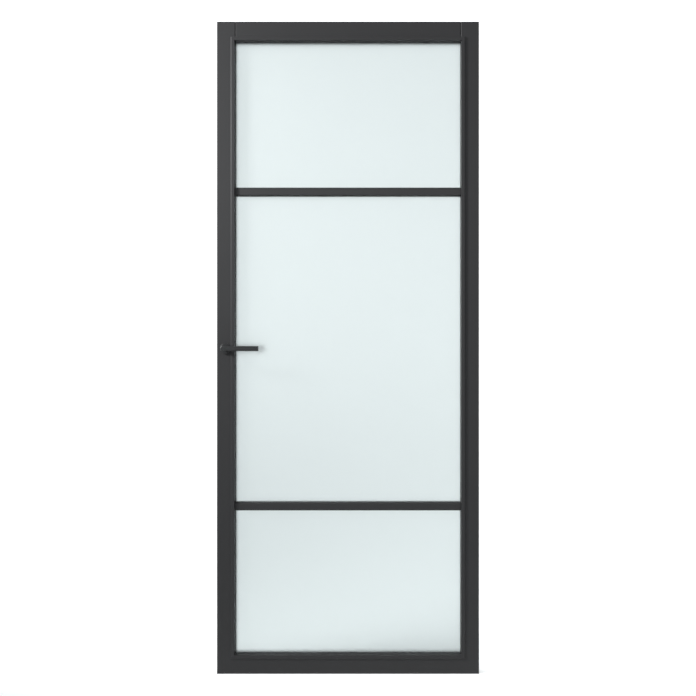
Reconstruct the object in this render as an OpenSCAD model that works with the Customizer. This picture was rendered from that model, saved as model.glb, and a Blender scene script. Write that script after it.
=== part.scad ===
// Glazed interior door leaf: a stile and rail frame, raised glazing beads on both faces,
// one satin pane with two pairs of applied glazing bars, a magnetic latch and a lever set.
// Origin: middle of the bottom edge. X runs across the leaf with the lock edge at -X,
// Y runs through it with the front face at -Y, and Z is up. Millimetres.

/* [Leaf] */
// Width of the leaf
leaf_w = 930; // [700:1:1200]
// Height of the leaf
leaf_h = 2315; // [1900:5:2800]
// Thickness of the leaf
leaf_t = 40; // [38:0.5:50]

/* [Stiles and rails] */
// Width of each stile
stile_w = 65; // [64:1:120]
// Height of the top rail
top_rail_h = 70; // [60:1:140]
// Height of the bottom rail
bottom_rail_h = 70; // [60:1:250]
// Depth of the V joint between the stiles and the top rail
joint_v = 2.5; // [0.5:0.1:3]
// Diameter of the corner dowels
dowel_d = 10; // [8:1:12]
// Length of the corner dowels
dowel_l = 80; // [60:2:100]
// Distance between the two dowels of a corner
dowel_pitch = 24; // [20:1:30]
// Glue gap around a dowel
dowel_gap = 0.1; // [0.05:0.05:0.2]

/* [Pane and beads] */
// Thickness of the laminated pane
glass_t = 8; // [6:0.5:12]
// Gap between the pane's edge and the frame, all round
glass_gap = 4; // [3:0.5:6]
// Width of a bead, from its sight line to its outer edge
bead_w = 16; // [13:0.5:22]
// How far a bead laps over the face of the frame
bead_lap = 4; // [2:0.5:6]
// How far a bead stands proud of the face
bead_proud = 5; // [4:0.5:8]
// How far a bead's inner face leans back towards the frame
bead_splay = 3; // [1:0.5:5]
// Radius of a bead's outer front edge
bead_round = 3.5; // [1:0.5:4]
// Thickness of the seal between a bead and the pane
seal_t = 1.5; // [1:0.5:3]
// Width of that seal
seal_w = 5; // [3:0.5:6]
// How far the seal stays back from the sight line
seal_back = 1.5; // [1:0.5:3]
// Length of a setting or location block
block_l = 80; // [50:5:120]
// Width of a block, through the leaf
block_w = 10; // [8:1:14]
// Height of the location blocks above and below the pane's ends
block_in = 180; // [120:10:300]

/* [Bead pins] */
// Diameter of a headless pin
pin_d = 1.6; // [1.2:0.2:2]
// Length of a pin
pin_l = 18; // [14:1:20]
// How far a pin reaches into its bead
pin_in_bead = 8; // [6:0.5:9]
// Depth of the pins under a bead's front
pin_depth = 11; // [8:0.5:12]
// Pins in each side bead, an even number so that none meets the lever's bore
side_pins = 8; // [6:2:14]
// Pins in each top and bottom bead
rail_pins = 3; // [2:1:6]

/* [Glazing bars] */
// Distance from the top of the leaf to the middle of the upper bars
upper_bar_drop = 602; // [300:1:900]
// Height of the middle of the lower bars
lower_bar_z = 593; // [300:1:900]
// Width of a bar where it meets the pane
bar_base = 32; // [24:1:50]
// Width of a bar's front
bar_face = 25; // [18:1:44]
// Height of a bar above the pane, its tape included
bar_out = 14; // [8:0.5:16]
// Thickness of the tape under a bar
tape_t = 1; // [0.5:0.5:2]
// Width of that tape
tape_w = 22; // [12:1:23]
// Gap at the ends of a bar
bar_gap = 0.2; // [0.1:0.1:0.5]

/* [Latch] */
// Height of the lever's axis
handle_z = 1154.5; // [900:0.5:1250]
// Distance from the lock edge to the lever's axis
backset = 30; // [25:1:35]
// Thickness of the latch case
case_t = 15; // [14:0.5:18]
// Depth of the case behind the lever's axis
case_behind = 14; // [13:0.5:16]
// Height of the case above the lever's axis
case_up = 62; // [60:1:80]
// Depth of the case below the lever's axis
case_down = 26; // [25:1:40]
// Thickness of the case's sheet
sheet_t = 1.2; // [1:0.1:1.5]
// Gap between the case and its mortise
mortise_gap = 0.5; // [0.3:0.1:1]
// Thickness of the faceplate
plate_t = 3; // [2:0.5:4]
// Width of the faceplate
plate_w = 20; // [18:1:24]
// How far the faceplate reaches past each end of the case
plate_past = 31; // [25:1:40]
// Gap round the faceplate
plate_gap = 0.3; // [0.1:0.1:0.5]
// Height of the latch bolt
bolt_h = 28; // [20:1:30]
// Length of the bolt's head
bolt_l = 14; // [12:0.5:16]
// Height of the bolt's middle above the lever's axis
bolt_up = 40; // [38:1:44]
// How far the magnet draws the bolt out
bolt_travel = 11; // [8:0.5:12]
// Diameter of the bolt's tail
tail_d = 6; // [5:0.5:7]
// Diameter of the magnet in the bolt's face
magnet_d = 9; // [6:0.5:10]
// Length of that magnet
magnet_l = 8; // [5:0.5:10]
// Gap between sliding pieces
slide_gap = 0.3; // [0.2:0.1:0.5]
// Gap between a turning piece and its bearing
turn_gap = 0.05; // [0.02:0.01:0.1]

/* [Lever set] */
// Angle that the lever turns
lever_turn = 40; // [30:1:40]
// Length of the lever from its axis
lever_reach = 124; // [90:1:150]
// Height of the lever's bar
lever_h = 17.5; // [14:0.5:17.5]
// Thickness of the lever's bar
lever_t = 11; // [8:0.5:14]
// Radius of the bar's long edges
lever_round = 3.5; // [1:0.5:3.5]
// Distance from the face of the leaf to the middle of the bar
lever_out = 49; // [40:1:60]
// Diameter of the lever's neck
neck_d = 18; // [18:0.5:20]
// Side of the square spindle
spindle_w = 8; // [7:0.5:9]
// Length of the spindle
spindle_l = 104; // [90:2:120]
// Diameter of a rose
rose_d = 36; // [34:1:52]
// Thickness of a rose's fixing plate
rose_plate_t = 5; // [3:0.5:6]
// Wall of a rose's cover
rose_wall = 1.5; // [1:0.1:2]
// Radius of a rose's front edge
rose_round = 1.2; // [0.5:0.1:1.4]
// Distance of the rose screws from the axis
rose_screw_r = 12.5; // [12.5:0.1:13]
// Diameter of the rose and faceplate screws
screw_d = 3.5; // [3:0.1:3.5]

/* [Hinge edge] */
// Height of the lowest hinge's middle
hinge_low_z = 250; // [150:5:400]
// Distance from the top of the leaf to the highest hinge's middle
hinge_top_drop = 200; // [150:5:400]
// Height of a hinge recess
hinge_h = 89; // [76:1:102]
// Width of a hinge recess, from the back face
hinge_w = 30; // [28:1:34]
// Depth of a hinge recess
hinge_t = 2.5; // [2:0.1:3.5]
// Distance between hinge holes through the leaf
hinge_hole_dy = 14; // [12:1:16]
// Distance between hinge holes up the leaf
hinge_hole_dz = 60; // [50:1:70]
// Diameter of a pilot hole for a hinge screw
hinge_hole_d = 3.2; // [2.5:0.1:4]

/* [Hidden] */
$fn = 48;
eps = 0.01;
over = 1;
sight_w = leaf_w - 2 * stile_w;
sight_lo = bottom_rail_h;
sight_hi = leaf_h - top_rail_h;
rebate = bead_w - bead_lap;
open_w = sight_w + 2 * rebate;
open_lo = sight_lo - rebate;
open_hi = sight_hi + rebate;
pane_w = open_w - 2 * glass_gap;
pane_h = open_hi - open_lo - 2 * glass_gap;
bead_in = glass_t / 2 + seal_t;
bead_top = leaf_t / 2 + bead_proud;
pin_y = bead_top - pin_depth;
pin_gap = 0.05;
bar_zs = [lower_bar_z, leaf_h - upper_bar_drop];
axis_x = backset - leaf_w / 2;
case_depth = backset + case_behind - plate_t;
case_in_t = case_t - 2 * sheet_t;
bolt_rest = 0.3;
bolt_t = case_in_t - 2 * slide_gap;
bracket_t = 2;
bracket_x = bolt_rest + bolt_l + 0.7;
arm_w = 5;
arm_l = bolt_up - 12;
spring_room = 5;
dog_gap = 0.5;
dog_x = max(backset + arm_w / 2 + dog_gap, bracket_x + bracket_t + bolt_travel + spring_room);
arm_past = asin((dog_x - dog_gap - arm_w / 2 - backset) / arm_l);
dog_t = 3;
dog_low = bolt_up - 20;
hub_d = 20;
journal_d = 14;
stop_arm_l = 19;
stop_arm_lean = 15;
spring_z = -16;
spring_d = 8;
post_d = 6;
post_in = sheet_t + post_d / 2 - 0.8;
posts = [
    [backset + case_behind - post_in, case_up - post_in],
    [backset + case_behind - post_in, post_in - case_down],
    [plate_t + post_in, 4]
];
case_screw_d = 2.5;
plate_mid = (case_up - case_down) / 2;
plate_h = case_up + case_down + 2 * plate_past;
plate_screw_z = plate_h / 2 - 12;
hinge_zs = [hinge_low_z, (hinge_low_z + leaf_h - hinge_top_drop) / 2, leaf_h - hinge_top_drop];
hinge_y = leaf_t / 2 - hinge_w / 2;
spindle_gap = 0.05;
grub_d = 4;
grub_l = 4.5;
grub_y = leaf_t / 2 + rose_plate_t + rose_wall + 7;
bore_d = 22;
paint = "#414244";
steel = "#a9adb0";

// Shared shapes

// Children are drawn for the back face (+Y) and mirrored for the front
module on_face(front) {
    mirror([0, front ? 1 : 0, 0]) children();
}

// Children are drawn from the lock edge, at the height of the lever's axis
module at_lock() {
    translate([-leaf_w / 2, 0, handle_z]) children();
}

// A cylinder along +Y
module rod_y(d, l) {
    rotate([-90, 0, 0]) cylinder(d = d, h = l);
}

// A cylinder along +X
module rod_x(d, l) {
    rotate([0, 90, 0]) cylinder(d = d, h = l);
}

// A block centred on Y and Z that starts at x = 0
module block_x(l, w, h) {
    translate([0, -w / 2, -h / 2]) cube([l, w, h]);
}

// A countersunk screw whose cross-slotted head has its top at y = 0 and whose shank runs to -Y,
// or the plain hole for it when grow is set
module screw_y(d, l, grow) {
    mirror([0, 1, 0]) difference() {
        union() {
            rotate([-90, 0, 0]) cylinder(d1 = 2 * d + 2 * grow, d2 = d + 2 * grow, h = d / 2);
            rod_y(d + 2 * grow, l + grow);
        }
        if (grow == 0) {
            cube([d, 0.8 * d, 0.3 * d], center = true);
            cube([0.3 * d, 0.8 * d, d], center = true);
        }
    }
}

module rounded_rect(w, h, r) {
    square([w, h - 2 * r], center = true);
    square([w - 2 * r, h], center = true);
    for (sx = [-1, 1], sy = [-1, 1]) {
        translate([sx * (w / 2 - r), sy * (h / 2 - r)]) circle(r = r);
    }
}

// A plate with round ends, t thick along +X
module round_end_plate(t, w, h) {
    rotate([90, 0, 90]) linear_extrude(t) {
        square([w, h - w], center = true);
        for (s = [-1, 1]) {
            translate([0, s * (h - w) / 2]) circle(d = w);
        }
    }
}

// A compression spring along +X, swept as a six-sided wire
module coil_x(d, wire, l, turns) {
    sides = 6;
    rings = 14 * turns;
    r = (d - wire) / 2;
    points = [
        for (i = [0 : rings], k = [0 : sides - 1])
            let (a = 360 * turns * i / rings, b = 360 * k / sides, q = r + wire / 2 * cos(b))
                [wire / 2 + (l - wire) * i / rings + wire / 2 * sin(b), q * cos(a), q * sin(a)]
    ];
    walls = [
        for (i = [0 : rings - 1], k = [0 : sides - 1])
            let (n = (k + 1) % sides)
                [i * sides + k, i * sides + n, (i + 1) * sides + n, (i + 1) * sides + k]
    ];
    first = [for (k = [0 : sides - 1]) sides - 1 - k];
    last = [for (k = [0 : sides - 1]) rings * sides + k];
    polyhedron(points, concat(walls, [first, last]), convexity = 10);
}

// Frame

module glazing_opening() {
    translate([-open_w / 2, -leaf_t, open_lo]) cube([open_w, 2 * leaf_t, open_hi - open_lo]);
}

// V grooves over the joints of the top rail, on both faces
module joint_grooves() {
    reach = joint_v + over;
    for (sx = [-1, 1], front = [true, false]) on_face(front) {
        translate([sx * sight_w / 2, leaf_t / 2, open_hi - over])
            linear_extrude(leaf_h - open_hi + 2 * over)
                polygon([[0, -joint_v], [reach, over], [-reach, over]]);
    }
}

// Dowels across both joints of both rails, or their holes when gap is set
module dowel_set(gap) {
    for (sx = [-1, 1], mid = [open_lo / 2, (leaf_h + open_hi) / 2], s = [-1, 1]) {
        translate([sx * sight_w / 2 - dowel_l / 2 - 5 * gap, 0, mid + s * dowel_pitch / 2])
            rod_x(dowel_d + 2 * gap, dowel_l + 10 * gap);
    }
}

// All the bead pins, or their holes when gap is set
module pin_set(gap) {
    for (front = [true, false]) on_face(front) {
        for (sx = [-1, 1], i = [0 : side_pins - 1]) {
            translate([0, pin_y, sight_lo + (sight_hi - sight_lo) * (i + 0.5) / side_pins])
                mirror([sx < 0 ? 1 : 0, 0, 0]) translate([open_w / 2 - pin_in_bead - gap, 0, 0])
                    rod_x(pin_d + 2 * gap, pin_l + 2 * gap);
        }
        for (i = [0 : rail_pins - 1]) {
            x = sight_w * ((i + 0.5) / rail_pins - 0.5);
            translate([x, pin_y, open_hi - pin_in_bead - gap])
                cylinder(d = pin_d + 2 * gap, h = pin_l + 2 * gap);
            translate([x, pin_y, open_lo + pin_in_bead + gap - pin_l - 2 * gap])
                cylinder(d = pin_d + 2 * gap, h = pin_l + 2 * gap);
        }
    }
}

module stile_blank() {
    difference() {
        translate([-leaf_w / 2, -leaf_t / 2, 0]) cube([stile_w, leaf_t, leaf_h]);
        glazing_opening();
        joint_grooves();
        dowel_set(dowel_gap);
        pin_set(pin_gap);
    }
}

module lock_stile() {
    color(paint) difference() {
        stile_blank();
        at_lock() {
            translate([-over, 0, plate_mid])
                round_end_plate(plate_t + over, plate_w + 2 * plate_gap, plate_h + 2 * plate_gap);
            translate([-over, 0, plate_mid])
                block_x(
                    case_depth + plate_t + mortise_gap + over,
                    case_t + 2 * mortise_gap,
                    case_up + case_down + 2 * mortise_gap
                );
            translate([backset, -leaf_t, 0]) rod_y(bore_d, 2 * leaf_t);
            for (s = [-1, 1]) {
                translate([plate_t - eps, 0, plate_mid + s * plate_screw_z])
                    rod_x(screw_d + 2 * pin_gap, 24);
            }
        }
        rose_screw_set(pin_gap);
    }
}

module hinge_stile() {
    color(paint) difference() {
        mirror([1, 0, 0]) stile_blank();
        for (z = hinge_zs) {
            translate([leaf_w / 2 - hinge_t, leaf_t / 2 - hinge_w, z - hinge_h / 2])
                cube([hinge_t + over, hinge_w + over, hinge_h]);
            for (sy = [-1, 1], sz = [-1, 1]) {
                translate([
                    leaf_w / 2 - hinge_t - 30,
                    hinge_y + sy * hinge_hole_dy / 2,
                    z + sz * hinge_hole_dz / 2
                ]) rod_x(hinge_hole_d, 31);
            }
        }
    }
}

// A rail that starts at height z
module rail(z, h) {
    color(paint) difference() {
        translate([-sight_w / 2, -leaf_t / 2, z]) cube([sight_w, leaf_t, h]);
        glazing_opening();
        joint_grooves();
        dowel_set(dowel_gap);
        pin_set(pin_gap);
    }
}

module top_rail() {
    rail(sight_hi, top_rail_h);
}

module bottom_rail() {
    rail(0, bottom_rail_h);
}

module corner_dowels() {
    color("#c8a878") dowel_set(0);
}

// Pane

module glass_pane() {
    color("#dde8ea", 0.6) translate([-pane_w / 2, -glass_t / 2, open_lo + glass_gap])
        cube([pane_w, glass_t, pane_h]);
}

module setting_blocks() {
    color("#2b2b2c") difference() {
        for (s = [-1, 1]) {
            translate([s * pane_w / 4 - block_l / 2, -block_w / 2, open_lo])
                cube([block_l, block_w, glass_gap]);
        }
        seal_rings();
    }
}

module location_blocks() {
    color("#2b2b2c") difference() {
        for (s = [0, 1], z = [open_lo + block_in, open_hi - block_in]) {
            mirror([s, 0, 0]) translate([pane_w / 2, -block_w / 2, z - block_l / 2])
                cube([glass_gap, block_w, block_l]);
        }
        seal_rings();
    }
}

// The rectangular ring that a seal fills between the beads and the pane
module seal_ring() {
    outer = seal_back + seal_w;
    difference() {
        translate([-sight_w / 2 - outer, glass_t / 2, sight_lo - outer])
            cube([sight_w + 2 * outer, seal_t, sight_hi - sight_lo + 2 * outer]);
        translate([-sight_w / 2 - seal_back, 0, sight_lo - seal_back])
            cube([sight_w + 2 * seal_back, leaf_t, sight_hi - sight_lo + 2 * seal_back]);
    }
}

// Both rings, which notch the blocks if they reach past the pane's edge
module seal_rings() {
    for (front = [true, false]) {
        on_face(front) seal_ring();
    }
}

module seal(front) {
    color("#1c1c1d") on_face(front) seal_ring();
}

module front_seal() {
    seal(true);
}

module back_seal() {
    seal(false);
}

// Beads

// A bead's section: x runs outwards from the sight line, y out from the middle of the pane
module bead_section() {
    arc = [
        for (a = [90 : -15 : 0])
            [bead_w - bead_round + bead_round * cos(a), bead_top - bead_round + bead_round * sin(a)]
    ];
    polygon(concat(
        [[0, bead_in], [bead_splay, bead_top]],
        arc,
        [[bead_w, leaf_t / 2], [rebate, leaf_t / 2], [rebate, bead_in]]
    ));
}

// The mitred bead of the hinge side
module side_bead() {
    z0 = sight_lo - bead_w;
    z1 = sight_hi + bead_w;
    color(paint) difference() {
        intersection() {
            translate([sight_w / 2, 0, z0]) linear_extrude(z1 - z0) bead_section();
            translate([0, leaf_t, 0]) rotate([90, 0, 0]) linear_extrude(leaf_t)
                polygon([
                    [sight_w / 2, sight_lo],
                    [sight_w / 2 + bead_w, z0],
                    [sight_w / 2 + bead_w, z1],
                    [sight_w / 2, sight_hi]
                ]);
        }
        pin_set(pin_gap);
    }
}

// The mitred bead of a rail, drawn upwards from height zero at its sight line
module rail_bead_blank() {
    x1 = sight_w / 2 + bead_w;
    intersection() {
        translate([-x1, 0, 0]) rotate([90, 0, 90]) linear_extrude(2 * x1)
            mirror([1, -1]) bead_section();
        translate([0, leaf_t, 0]) rotate([90, 0, 0]) linear_extrude(leaf_t)
            polygon([[-sight_w / 2, 0], [-x1, bead_w], [x1, bead_w], [sight_w / 2, 0]]);
    }
}

module rail_bead(top) {
    color(paint) difference() {
        translate([0, 0, top ? sight_hi : sight_lo]) mirror([0, 0, top ? 0 : 1]) rail_bead_blank();
        pin_set(pin_gap);
    }
}

module front_bead_top() {
    on_face(true) rail_bead(true);
}

module front_bead_bottom() {
    on_face(true) rail_bead(false);
}

module front_bead_lock() {
    on_face(true) mirror([1, 0, 0]) side_bead();
}

module front_bead_hinge() {
    on_face(true) side_bead();
}

module back_bead_top() {
    rail_bead(true);
}

module back_bead_bottom() {
    rail_bead(false);
}

module back_bead_lock() {
    mirror([1, 0, 0]) side_bead();
}

module back_bead_hinge() {
    side_bead();
}

module bead_pins() {
    color(steel) pin_set(0);
}

// Glazing bars

// A bar across the pane whose ends follow the splay of the side beads
module glazing_bar(z) {
    y0 = glass_t / 2 + tape_t;
    y1 = glass_t / 2 + bar_out;
    lean = bead_splay / (bead_top - bead_in);
    x0 = sight_w / 2 - bar_gap + lean * (y0 - bead_in);
    x1 = sight_w / 2 - bar_gap + lean * (y1 - bead_in);
    color(paint) intersection() {
        translate([-leaf_w / 2, 0, z]) rotate([90, 0, 90]) linear_extrude(leaf_w)
            polygon([
                [y0, -bar_base / 2],
                [y1, -bar_face / 2],
                [y1, bar_face / 2],
                [y0, bar_base / 2]
            ]);
        translate([0, 0, z - bar_base]) linear_extrude(2 * bar_base)
            polygon([[-x0, y0], [x0, y0], [x1, y1], [-x1, y1]]);
    }
}

module front_bar_upper() {
    on_face(true) glazing_bar(bar_zs[1]);
}

module front_bar_lower() {
    on_face(true) glazing_bar(bar_zs[0]);
}

module back_bar_upper() {
    glazing_bar(bar_zs[1]);
}

module back_bar_lower() {
    glazing_bar(bar_zs[0]);
}

module bar_tapes() {
    color("#1c1c1d") for (front = [true, false], z = bar_zs) {
        on_face(front) translate([-sight_w / 2 + seal_back, glass_t / 2, z - tape_w / 2])
            cube([sight_w - 2 * seal_back, tape_t, tape_w]);
    }
}

// Latch

// The hole that the bolt slides through, in the faceplate and the case's front
module bolt_hole() {
    translate([-over, 0, bolt_up])
        block_x(plate_t + sheet_t + 2 * over, bolt_t + 2 * slide_gap, bolt_h + 2 * slide_gap);
}

module plate_screw_set(grow) {
    for (s = [-1, 1]) {
        translate([0, 0, plate_mid + s * plate_screw_z]) rotate([0, 0, 90])
            screw_y(screw_d, 24, grow);
    }
}

module latch_faceplate() {
    color(steel) at_lock() difference() {
        translate([0, 0, plate_mid]) round_end_plate(plate_t, plate_w, plate_h);
        bolt_hole();
        plate_screw_set(pin_gap);
    }
}

module faceplate_screws() {
    color(steel) at_lock() plate_screw_set(0);
}

module latch_case() {
    body_t = case_t - sheet_t;
    color(steel) at_lock() difference() {
        union() {
            difference() {
                translate([plate_t, -case_t / 2, -case_down])
                    cube([case_depth, body_t, case_up + case_down]);
                translate([plate_t + sheet_t, -case_in_t / 2, -case_down + sheet_t])
                    cube([case_depth - 2 * sheet_t, case_t, case_up + case_down - 2 * sheet_t]);
            }
            translate([bracket_x, -case_in_t / 2 - eps, bolt_up])
                translate([0, 0, -9]) cube([bracket_t, case_in_t + eps, 18]);
            for (p = posts) {
                translate([p[0], -case_in_t / 2 - eps, p[1]]) rod_y(post_d, case_in_t + eps);
            }
        }
        bolt_hole();
        translate([bracket_x - over, 0, bolt_up]) rod_x(tail_d + 2 * turn_gap, bracket_t + 2 * over);
        translate([backset, -case_t, 0]) rod_y(journal_d + 2 * turn_gap, case_t);
        case_screw_set(pin_gap);
    }
}

module case_screw_set(grow) {
    for (p = posts) {
        translate([p[0], case_t / 2, p[1]]) screw_y(case_screw_d, 9, grow);
    }
}

module latch_case_cover() {
    color(steel) at_lock() difference() {
        translate([plate_t, case_t / 2 - sheet_t, -case_down])
            cube([case_depth, sheet_t, case_up + case_down]);
        translate([backset, 0, 0]) rod_y(journal_d + 2 * turn_gap, case_t);
        case_screw_set(pin_gap);
    }
}

module case_screws() {
    color(steel) at_lock() case_screw_set(0);
}

module latch_bolt() {
    head_back = bolt_rest + bolt_l;
    color("#2a2b2c") at_lock() difference() {
        union() {
            translate([bolt_rest, 0, bolt_up]) block_x(bolt_l, bolt_t, bolt_h);
            translate([head_back - eps, 0, bolt_up]) rod_x(tail_d, dog_x - head_back + dog_t);
            translate([dog_x, -bolt_t / 2, dog_low]) cube([dog_t, bolt_t, bolt_up + 4 - dog_low]);
        }
        translate([bolt_rest - over, 0, bolt_up]) rod_x(magnet_d + 2 * pin_gap, magnet_l + over);
    }
}

module latch_magnet() {
    color(steel) at_lock() translate([bolt_rest, 0, bolt_up]) rod_x(magnet_d, magnet_l);
}

// Has as many turns as still fit between the bracket and the dog with the bolt out
module latch_spring() {
    gap = 0.2;
    wire = 0.8;
    x = bracket_x + bracket_t + gap;
    room = dog_x - x - gap;
    color(steel) at_lock() translate([x, 0, bolt_up])
        coil_x(tail_d + 2.6, wire, room, floor((room - bolt_travel) / wire));
}

module arm(l) {
    translate([-arm_w / 2, -arm_w / 2, 0]) cube([arm_w, arm_w, l]);
}

module follower() {
    hub_t = case_in_t - 2 * slide_gap;
    color(steel) at_lock() translate([backset, 0, 0]) difference() {
        union() {
            translate([0, -hub_t / 2, 0]) rod_y(hub_d, hub_t);
            translate([0, -case_t / 2, 0]) rod_y(journal_d, case_t);
            rotate([0, arm_past - lever_turn, 0]) arm(arm_l);
            rotate([0, 180 - stop_arm_lean, 0]) arm(stop_arm_l);
        }
        translate([0, -case_t, 0]) rotate([-90, 0, 0]) linear_extrude(2 * case_t)
            square(spindle_w + 2 * spindle_gap, center = true);
    }
}

module lever_spring() {
    x = plate_t + sheet_t + 0.2;
    end = backset - spring_z * tan(stop_arm_lean) - arm_w / 2 / cos(stop_arm_lean);
    color(steel) at_lock() translate([x, 0, spring_z])
        coil_x(spring_d, 1, end - x - 1.5, 8);
}

// Lever set

module spindle() {
    color(steel) translate([axis_x, -spindle_l / 2, handle_z]) rotate([-90, 0, 0])
        linear_extrude(spindle_l) square(spindle_w, center = true);
}

// A turned form along +Y: radius r and length l, with its far edge rounded
module rounded_end_y(r, l, edge) {
    rotate([-90, 0, 0]) rotate_extrude() {
        square([r - edge, l]);
        square([r, l - edge]);
        translate([r - edge, l - edge]) intersection() {
            circle(r = edge);
            square(edge);
        }
    }
}

module lever() {
    inner = leaf_t / 2 + slide_gap;
    color("#2e2f31") translate([axis_x, 0, handle_z]) difference() {
        union() {
            translate([0, inner, 0])
                rounded_end_y(neck_d / 2, lever_out + lever_t / 2 - slide_gap, lever_round);
            translate([0, leaf_t / 2 + lever_out, 0]) rotate([90, 0, 90])
                linear_extrude(lever_reach) rounded_rect(lever_t, lever_h, lever_round);
        }
        rotate([-90, 0, 0]) linear_extrude(spindle_l / 2 + over)
            square(spindle_w + 2 * spindle_gap, center = true);
        translate([0, grub_y, -neck_d]) cylinder(d = grub_d + 2 * pin_gap, h = neck_d);
    }
}

module front_lever() {
    on_face(true) lever();
}

module back_lever() {
    on_face(false) lever();
}

// Each has a hexagon socket in its lower end
module lever_grub_screws() {
    color(steel) translate([axis_x, 0, handle_z]) for (front = [true, false]) on_face(front) {
        translate([0, grub_y, -spindle_w / 2 - spindle_gap - grub_l]) difference() {
            cylinder(d = grub_d, h = grub_l);
            translate([0, 0, -over]) cylinder(d = 0.6 * grub_d, h = over + grub_l / 2, $fn = 6);
        }
    }
}

module rose_screw_set(grow) {
    translate([axis_x, 0, handle_z]) for (front = [true, false], s = [-1, 1]) {
        on_face(front) translate([0, leaf_t / 2 + rose_plate_t, s * rose_screw_r])
            screw_y(screw_d - 0.5, rose_plate_t + 10, grow);
    }
}

module rose_plate() {
    color(steel) difference() {
        translate([axis_x, leaf_t / 2, handle_z])
            rod_y(rose_d - 2 * rose_wall - 2 * slide_gap, rose_plate_t);
        translate([axis_x, 0, handle_z]) rod_y(neck_d + 2 * turn_gap, leaf_t);
        rose_screw_set(pin_gap);
    }
}

module front_rose_plate() {
    on_face(true) rose_plate();
}

module back_rose_plate() {
    on_face(false) rose_plate();
}

module rose_cover() {
    color("#2e2f31") translate([axis_x, leaf_t / 2, handle_z]) difference() {
        rounded_end_y(rose_d / 2, rose_plate_t + rose_wall, rose_round);
        translate([0, -over, 0]) rod_y(rose_d - 2 * rose_wall, rose_plate_t + over);
        rod_y(neck_d + 2 * slide_gap, leaf_t);
    }
}

module front_rose_cover() {
    on_face(true) rose_cover();
}

module back_rose_cover() {
    on_face(false) rose_cover();
}

module rose_screws() {
    color(steel) rose_screw_set(0);
}

lock_stile();
hinge_stile();
top_rail();
bottom_rail();
corner_dowels();
glass_pane();
setting_blocks();
location_blocks();
front_seal();
back_seal();
front_bead_top();
front_bead_bottom();
front_bead_lock();
front_bead_hinge();
back_bead_top();
back_bead_bottom();
back_bead_lock();
back_bead_hinge();
bead_pins();
front_bar_upper();
front_bar_lower();
back_bar_upper();
back_bar_lower();
bar_tapes();
latch_faceplate();
faceplate_screws();
latch_case();
latch_case_cover();
case_screws();
latch_bolt();
latch_magnet();
latch_spring();
follower();
lever_spring();
spindle();
front_lever();
back_lever();
lever_grub_screws();
front_rose_plate();
back_rose_plate();
front_rose_cover();
back_rose_cover();
rose_screws();
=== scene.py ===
import math

import bpy
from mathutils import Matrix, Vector


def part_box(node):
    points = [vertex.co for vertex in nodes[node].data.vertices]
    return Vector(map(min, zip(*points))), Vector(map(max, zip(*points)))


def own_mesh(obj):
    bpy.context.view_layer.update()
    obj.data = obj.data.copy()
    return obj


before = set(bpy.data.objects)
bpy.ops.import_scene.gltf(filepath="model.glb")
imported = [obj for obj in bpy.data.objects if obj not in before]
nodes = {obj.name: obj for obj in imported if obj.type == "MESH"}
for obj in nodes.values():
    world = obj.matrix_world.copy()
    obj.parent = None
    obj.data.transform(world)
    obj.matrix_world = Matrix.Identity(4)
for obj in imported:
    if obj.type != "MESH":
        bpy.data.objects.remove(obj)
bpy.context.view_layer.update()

leafLow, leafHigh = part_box("lock_stile")[0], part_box("hinge_stile")[1]
mm = 0.001
print("frame loaded:", len(nodes), "pieces")


def linearColour(hexColour):
    # sRGB hex to linear, opaque
    channels = [int(hexColour[i:i + 2], 16) / 255 for i in (1, 3, 5)]
    linear = [c / 12.92 if c <= 0.04045 else ((c + 0.055) / 1.055) ** 2.4 for c in channels]
    return (*linear, 1.0)


def addNode(tree, kind, settings=None, links=None):
    # settings are the node's own properties or its sockets; links are (node, output) by socket
    node = tree.nodes.new(kind)
    for name, value in (settings or {}).items():
        if isinstance(name, str) and hasattr(node, name):
            setattr(node, name, value)
        else:
            node.inputs[name].default_value = value
    for name, (source, output) in (links or {}).items():
        tree.links.new(source.outputs[output], node.inputs[name])
    return node


def newMaterial(name, settings):
    material = bpy.data.materials.new(name)
    material.use_nodes = True
    tree = material.node_tree
    tree.nodes.clear()
    shader = addNode(tree, "ShaderNodeBsdfPrincipled", settings)
    addNode(tree, "ShaderNodeOutputMaterial", links={"Surface": (shader, "BSDF")})
    return material, tree, shader


def perMetre(millimetres):
    return 1000 / millimetres       # a noise scale whose features are about this far apart


def aim(thing, target):
    thing.rotation_euler = (Vector(target) - thing.location).to_track_quat("-Z", "Y").to_euler()


# metres: from the leaf's front face, to the right of its middle, above the floor
cameraSetup = {"distance": 3.0, "side": 0.16, "eye": 1.1566, "frameWidth": 2.4705, "sensor": 36.0}


def makeCamera():
    data = bpy.data.cameras.new("camera")
    camera = bpy.data.objects.new("camera", data)
    bpy.context.scene.collection.objects.link(camera)
    width = cameraSetup["frameWidth"]
    centre = (leafLow + leafHigh) / 2
    camera.location = (cameraSetup["side"], leafLow.y - cameraSetup["distance"], cameraSetup["eye"])
    camera.rotation_euler = (math.pi / 2, 0, 0)
    data.sensor_width = cameraSetup["sensor"]
    data.lens = cameraSetup["sensor"] * cameraSetup["distance"] / width
    data.shift_x = (centre.x - cameraSetup["side"]) / width
    data.clip_end = 60
    bpy.context.scene.camera = camera


makeCamera()
print("camera placed")


stageSetup = {
    "width": 14.0, "front": -7.0, "back": 4.2, "height": 8.0, "bend": 1.6, "bendSteps": 24,
    "colour": "#e6e8e8",
    # glow values: the paper's own emission, painted light that stands in for lamps
    "glowFloor": 0.4, "glowWall": 0.74, "wallHeight": 0.7, "fadeFrom": -0.3, "fadeTo": 0.1,
    "glowInFront": 0.2,
}


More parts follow.
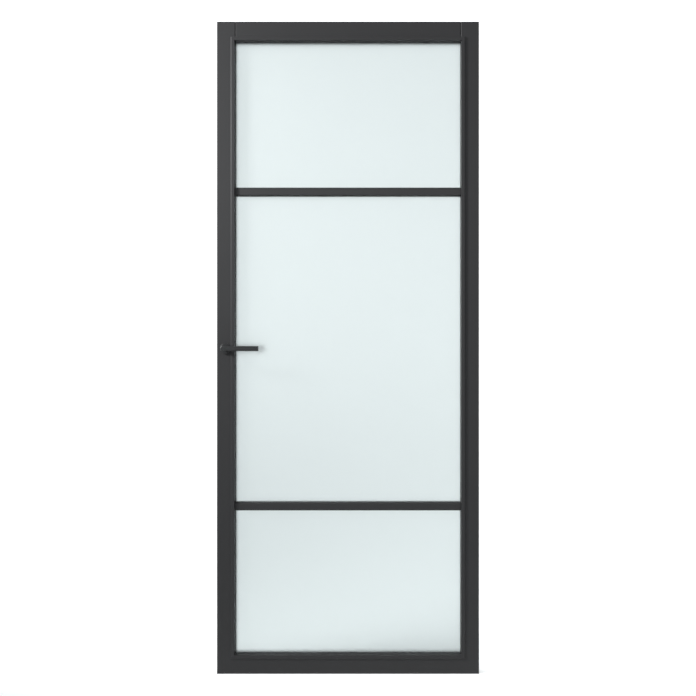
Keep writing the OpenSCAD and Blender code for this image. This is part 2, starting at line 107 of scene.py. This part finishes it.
def makeStage():
    # a pale floor that sweeps up into a backdrop
    front, back, bend = stageSetup["front"], stageSetup["back"], stageSetup["bend"]
    steps = stageSetup["bendSteps"]
    line = [(front, 0.0)]
    for i in range(steps + 1):
        angle = math.pi / 2 * i / steps
        line.append((back - bend + bend * math.sin(angle), bend - bend * math.cos(angle)))
    line.append((back, stageSetup["height"]))
    half = stageSetup["width"] / 2
    points = [(x, y, z) for y, z in line for x in (-half, half)]
    faces = [(2 * i, 2 * i + 1, 2 * i + 3, 2 * i + 2) for i in range(len(line) - 1)]
    mesh = bpy.data.meshes.new("backdrop")
    mesh.from_pydata(points, [], faces)
    mesh.shade_smooth()
    backdrop = bpy.data.objects.new("backdrop", mesh)
    bpy.context.scene.collection.objects.link(backdrop)
    paper, tree, shader = newMaterial("paperBackdropGlowing", {
        "Base Color": linearColour(stageSetup["colour"]), "Roughness": 0.9, "Specular IOR Level": 0.1,
        "Emission Color": linearColour("#ffffff")})
    # the paper itself glows, painted light in place of lamps behind it: brighter up the wall, dimmer in
    # front of the leaf
    place = addNode(tree, "ShaderNodeTexCoord")
    split = addNode(tree, "ShaderNodeSeparateXYZ", links={"Vector": (place, "Object")})
    glow = addNode(tree, "ShaderNodeMapRange", {
        "From Max": stageSetup["wallHeight"], "To Min": stageSetup["glowFloor"],
        "To Max": stageSetup["glowWall"]}, {"Value": (split, "Z")})
    fade = addNode(tree, "ShaderNodeMapRange", {
        "interpolation_type": "SMOOTHSTEP", "From Min": stageSetup["fadeFrom"],
        "From Max": stageSetup["fadeTo"], "To Min": stageSetup["glowInFront"]},
        {"Value": (split, "Y")})
    strength = addNode(tree, "ShaderNodeMath", {"operation": "MULTIPLY"},
                       {0: (glow, "Result"), 1: (fade, "Result")})
    tree.links.new(strength.outputs["Value"], shader.inputs["Emission Strength"])
    mesh.materials.append(paper)


lightSetup = {
    "keyLeft": {"place": (-3.4, -1.35, 3.1), "target": (-0.2, 0, 1.65), "size": 0.7, "watts": 44,
                "spread": 58},
    "fillRight": {"place": (1.5, -3.4, 3.0), "target": (-0.1, 0, 1.2), "size": 0.45, "watts": 0.7,
                  "spread": 60},
}
worldSetup = {"colour": "#fbfdff", "strength": 0.82}


def makeLights():
    for name, setup in lightSetup.items():
        data = bpy.data.lights.new(name, "AREA")
        data.shape = "SQUARE"
        data.size = setup["size"]
        data.energy = setup["watts"]
        data.spread = math.radians(setup["spread"])
        lamp = bpy.data.objects.new(name, data)
        bpy.context.scene.collection.objects.link(lamp)
        lamp.location = setup["place"]
        aim(lamp, setup["target"])
    world = bpy.data.worlds.new("studio")
    world.use_nodes = True
    background = world.node_tree.nodes["Background"]
    background.inputs["Color"].default_value = linearColour(worldSetup["colour"])
    background.inputs["Strength"].default_value = worldSetup["strength"]
    bpy.context.scene.world = world
    bpy.context.scene.view_settings.view_transform = "Standard"


makeStage()
makeLights()
print("stage and lights placed")


def orangePeel(tree, shader, settings):
    # sprayed coats dry with a shallow ripple; fine grit sits on top of it
    place = addNode(tree, "ShaderNodeTexCoord")
    ripple = addNode(tree, "ShaderNodeTexNoise", {
        "Scale": perMetre(settings["rippleMm"]), "Detail": 2.0, "Roughness": 0.5},
        {"Vector": (place, "Object")})
    grit = addNode(tree, "ShaderNodeTexNoise", {
        "Scale": perMetre(settings["gritMm"]), "Detail": 3.0, "Roughness": 0.6},
        {"Vector": (place, "Object")})
    low = addNode(tree, "ShaderNodeBump", {
        "Strength": settings["rippleStrength"], "Distance": settings["rippleHeightMm"] * mm},
        {"Height": (ripple, "Fac")})
    high = addNode(tree, "ShaderNodeBump", {
        "Strength": settings["gritStrength"], "Distance": settings["gritHeightMm"] * mm},
        {"Height": (grit, "Fac"), "Normal": (low, "Normal")})
    tree.links.new(high.outputs["Normal"], shader.inputs["Normal"])
    sheen = addNode(tree, "ShaderNodeMapRange", {
        "To Min": settings["roughness"] - settings["roughSpread"],
        "To Max": settings["roughness"] + settings["roughSpread"]},
        {"Value": (ripple, "Fac")})
    tree.links.new(sheen.outputs["Result"], shader.inputs["Roughness"])


def mottle(tree, shader, colour, other, sizeMm):
    # two near shades in soft clouds
    place = addNode(tree, "ShaderNodeTexCoord")
    cloud = addNode(tree, "ShaderNodeTexNoise", {"Scale": perMetre(sizeMm), "Detail": 2.0},
                    {"Vector": (place, "Object")})
    shade = addNode(tree, "ShaderNodeMix", {"data_type": "RGBA"}, {"Factor": (cloud, "Fac")})
    shade.inputs[6].default_value = linearColour(colour)
    shade.inputs[7].default_value = linearColour(other)
    tree.links.new(shade.outputs[2], shader.inputs["Base Color"])


def grain(tree, shader, settings):
    # a fine matt skin: the shine wanders a little and the surface is barely uneven
    place = addNode(tree, "ShaderNodeTexCoord")
    skin = addNode(tree, "ShaderNodeTexNoise", {"Scale": perMetre(settings["skinMm"]), "Detail": 3.0},
                   {"Vector": (place, "Object")})
    sheen = addNode(tree, "ShaderNodeMapRange", {
        "To Min": settings["roughness"] - settings["roughSpread"],
        "To Max": settings["roughness"] + settings["roughSpread"]}, {"Value": (skin, "Fac")})
    tree.links.new(sheen.outputs["Result"], shader.inputs["Roughness"])
    bump = addNode(tree, "ShaderNodeBump", {"Strength": 0.2, "Distance": 0.01 * mm},
                   {"Height": (skin, "Fac")})
    tree.links.new(bump.outputs["Normal"], shader.inputs["Normal"])


# MDF and timber under a sprayed silk-matt lacquer: nearly black, with a soft wide sheen
lacquerSetup = {
    "colour": "#272728", "deeper": "#242425", "roughness": 0.5, "roughSpread": 0.05,
    "rippleMm": 6.0, "rippleHeightMm": 0.03, "rippleStrength": 0.25,
    "gritMm": 0.9, "gritHeightMm": 0.01, "gritStrength": 0.2, "cloudMm": 240,
}


def makeLacquer():
    material, tree, shader = newMaterial("lacquerSprayedOnMdf", {"Specular IOR Level": 0.25, "IOR": 1.5})
    orangePeel(tree, shader, lacquerSetup)
    mottle(tree, shader, lacquerSetup["colour"], lacquerSetup["deeper"], lacquerSetup["cloudMm"])
    return material


# zinc die casting under a fine powder coat: black, satin, a fine grain that breaks the highlight
powderSetup = {
    "colour": "#1d1e1f", "roughness": 0.42, "roughSpread": 0.05,
    "rippleMm": 1.6, "rippleHeightMm": 0.02, "rippleStrength": 0.3,
    "gritMm": 0.5, "gritHeightMm": 0.01, "gritStrength": 0.25,
}


def makePowderCoat():
    material, tree, shader = newMaterial("powderCoatedZinc", {
        "Base Color": linearColour(powderSetup["colour"]), "Specular IOR Level": 0.35, "IOR": 1.5})
    orangePeel(tree, shader, powderSetup)
    return material


# laminated float glass with an etched skin: pale and cool, glows with what is behind it
glassSetup = {"tint": "#c6cdcd", "skinShare": 0.03, "roughness": 0.5, "roughSpread": 0.04,
              "etchMm": 1.2}


def makeSatinGlass():
    material, tree, shader = newMaterial("laminatedGlassEtched", {
        "Base Color": linearColour(glassSetup["tint"]), "IOR": 1.5, "Specular IOR Level": 0.5,
        "Transmission Weight": 1 - glassSetup["skinShare"]})
    place = addNode(tree, "ShaderNodeTexCoord")
    etch = addNode(tree, "ShaderNodeTexNoise", {
        "Scale": perMetre(glassSetup["etchMm"]), "Detail": 3.0}, {"Vector": (place, "Object")})
    frost = addNode(tree, "ShaderNodeMapRange", {
        "To Min": glassSetup["roughness"] - glassSetup["roughSpread"],
        "To Max": glassSetup["roughness"] + glassSetup["roughSpread"]}, {"Value": (etch, "Fac")})
    tree.links.new(frost.outputs["Result"], shader.inputs["Roughness"])
    return material


# EPDM rubber, extruded: dull black, with a faint bloom in soft patches
rubberSetup = {"colour": "#171718", "bloom": "#202122", "bloomMm": 14, "skinMm": 0.7,
               "roughness": 0.78, "roughSpread": 0.08}


def makeRubber():
    material, tree, shader = newMaterial("epdmRubberExtruded", {"Specular IOR Level": 0.3})
    mottle(tree, shader, rubberSetup["colour"], rubberSetup["bloom"], rubberSetup["bloomMm"])
    grain(tree, shader, rubberSetup)
    return material


# steel with a bright zinc plate: cool grey metal with a cloudy shine
zincSetup = {"colour": "#b4b8ba", "cloudMm": 3, "smoothest": 0.28, "roughest": 0.46}


def makeZincPlate():
    material, tree, shader = newMaterial("steelZincPlated", {
        "Base Color": linearColour(zincSetup["colour"]), "Metallic": 1.0})
    place = addNode(tree, "ShaderNodeTexCoord")
    cloud = addNode(tree, "ShaderNodeTexNoise", {
        "Scale": perMetre(zincSetup["cloudMm"]), "Detail": 4.0}, {"Vector": (place, "Object")})
    shine = addNode(tree, "ShaderNodeMapRange", {
        "To Min": zincSetup["smoothest"], "To Max": zincSetup["roughest"]}, {"Value": (cloud, "Fac")})
    tree.links.new(shine.outputs["Result"], shader.inputs["Roughness"])
    return material


# stainless steel, brushed along its length: fine upright lines that stretch the highlight
brushedSetup = {"colour": "#b3b2ae", "lineMm": 0.35, "lineStretch": 0.02, "lineHeightMm": 0.01,
                "lineStrength": 0.25, "smoothest": 0.26, "roughest": 0.44}


def makeBrushedSteel():
    material, tree, shader = newMaterial("stainlessSteelBrushed", {
        "Base Color": linearColour(brushedSetup["colour"]), "Metallic": 1.0})
    place = addNode(tree, "ShaderNodeTexCoord")
    stretch = addNode(tree, "ShaderNodeMapping", {"Scale": (1.0, 1.0, brushedSetup["lineStretch"])},
                      {"Vector": (place, "Object")})
    lines = addNode(tree, "ShaderNodeTexNoise", {
        "Scale": perMetre(brushedSetup["lineMm"]), "Detail": 3.0}, {"Vector": (stretch, "Vector")})
    shine = addNode(tree, "ShaderNodeMapRange", {
        "To Min": brushedSetup["smoothest"], "To Max": brushedSetup["roughest"]},
        {"Value": (lines, "Fac")})
    tree.links.new(shine.outputs["Result"], shader.inputs["Roughness"])
    bump = addNode(tree, "ShaderNodeBump", {
        "Strength": brushedSetup["lineStrength"], "Distance": brushedSetup["lineHeightMm"] * mm},
        {"Height": (lines, "Fac")})
    tree.links.new(bump.outputs["Normal"], shader.inputs["Normal"])
    return material


# nylon, moulded: dark and matt, with the mould's fine grain
nylonSetup = {"colour": "#242526", "flow": "#2b2c2d", "flowMm": 9, "skinMm": 0.4,
              "roughness": 0.5, "roughSpread": 0.07}


def makeNylon():
    material, tree, shader = newMaterial("nylonMoulded", {"Specular IOR Level": 0.5})
    mottle(tree, shader, nylonSetup["colour"], nylonSetup["flow"], nylonSetup["flowMm"])
    grain(tree, shader, nylonSetup)
    return material


# beech, turned: pale with a long grain
beechSetup = {"dark": "#b08a5c", "pale": "#d9b98a", "fibreMm": 0.8, "fibreStretch": 0.05,
              "roughness": 0.65}


def makeBeech():
    material, tree, shader = newMaterial("beechTurned", {"Roughness": beechSetup["roughness"]})
    place = addNode(tree, "ShaderNodeTexCoord")
    stretch = addNode(tree, "ShaderNodeMapping", {"Scale": (beechSetup["fibreStretch"], 1.0, 1.0)},
                      {"Vector": (place, "Object")})
    fibre = addNode(tree, "ShaderNodeTexNoise", {
        "Scale": perMetre(beechSetup["fibreMm"]), "Detail": 4.0}, {"Vector": (stretch, "Vector")})
    colour = addNode(tree, "ShaderNodeValToRGB", links={"Fac": (fibre, "Fac")})
    colour.color_ramp.elements[0].color = linearColour(beechSetup["dark"])
    colour.color_ramp.elements[1].color = linearColour(beechSetup["pale"])
    tree.links.new(colour.outputs["Color"], shader.inputs["Base Color"])
    return material


lacquer = makeLacquer()
powderCoat = makePowderCoat()
satinGlass = makeSatinGlass()
rubber = makeRubber()
zincPlate = makeZincPlate()
brushedSteel = makeBrushedSteel()
nylon = makeNylon()
beech = makeBeech()
print("materials made")


def finish(names, material):
    for name in names:
        mesh = nodes[name].data
        mesh.materials.clear()
        mesh.materials.append(material)


frameNames = ["lock_stile", "hinge_stile", "top_rail", "bottom_rail"]
beadNames = [f"{side}_bead_{place}" for side in ("front", "back")
             for place in ("top", "bottom", "lock", "hinge")]
barNames = [f"{side}_bar_{place}" for side in ("front", "back") for place in ("upper", "lower")]
leverNames = ["front_lever", "back_lever"]
roseNames = ["front_rose_cover", "back_rose_cover"]
finish(frameNames + beadNames + barNames, lacquer)
finish(leverNames + roseNames, powderCoat)
finish(["glass_pane"], satinGlass)
finish(["front_seal", "back_seal", "bar_tapes", "setting_blocks", "location_blocks"], rubber)
finish(["bead_pins", "latch_case", "latch_case_cover", "case_screws", "latch_magnet", "latch_spring",
        "follower", "lever_spring", "spindle", "lever_grub_screws", "front_rose_plate",
        "back_rose_plate", "rose_screws", "faceplate_screws"], zincPlate)
finish(["latch_faceplate"], brushedSteel)
finish(["latch_bolt"], nylon)
finish(["corner_dowels"], beech)


# how wide each piece's edges are rounded; edges flatter than sharpDegrees stay as they are
edgeSetup = {"frameMm": 1.2, "beadMm": 0.5, "barMm": 0.8, "handleMm": 0.5, "segments": 2,
             "sharpDegrees": 30, "weldMm": 0.002, "flatDegrees": 0.5}


def softenEdges(name, widthMm):
    # the flat faces become single faces first, so that the rounding runs along whole edges
    piece = nodes[name]
    weld = piece.modifiers.new("weld", "WELD")
    weld.merge_threshold = edgeSetup["weldMm"] * mm
    flat = piece.modifiers.new("flat", "DECIMATE")
    flat.decimate_type = "DISSOLVE"
    flat.angle_limit = math.radians(edgeSetup["flatDegrees"])
    bevel = piece.modifiers.new("edge", "BEVEL")
    bevel.width = widthMm * mm
    bevel.segments = edgeSetup["segments"]
    bevel.harden_normals = True
    bevel.limit_method = "ANGLE"
    bevel.angle_limit = math.radians(edgeSetup["sharpDegrees"])


for name in frameNames:
    softenEdges(name, edgeSetup["frameMm"])
for name in beadNames:
    softenEdges(name, edgeSetup["beadMm"])
for name in barNames:
    softenEdges(name, edgeSetup["barMm"])
for name in leverNames + roseNames:
    softenEdges(name, edgeSetup["handleMm"])
print("edges softened")

# the coil springs, the first under the bolt's dog, the second under the follower's arm, each get a mesh
# of their own
springSetup = {"latch_spring": {"joint": "latch_slide", "keep": 0.28},
               "lever_spring": {"joint": "lever_turn", "keep": 0.51}}
for name, setup in springSetup.items():
    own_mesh(nodes[name])
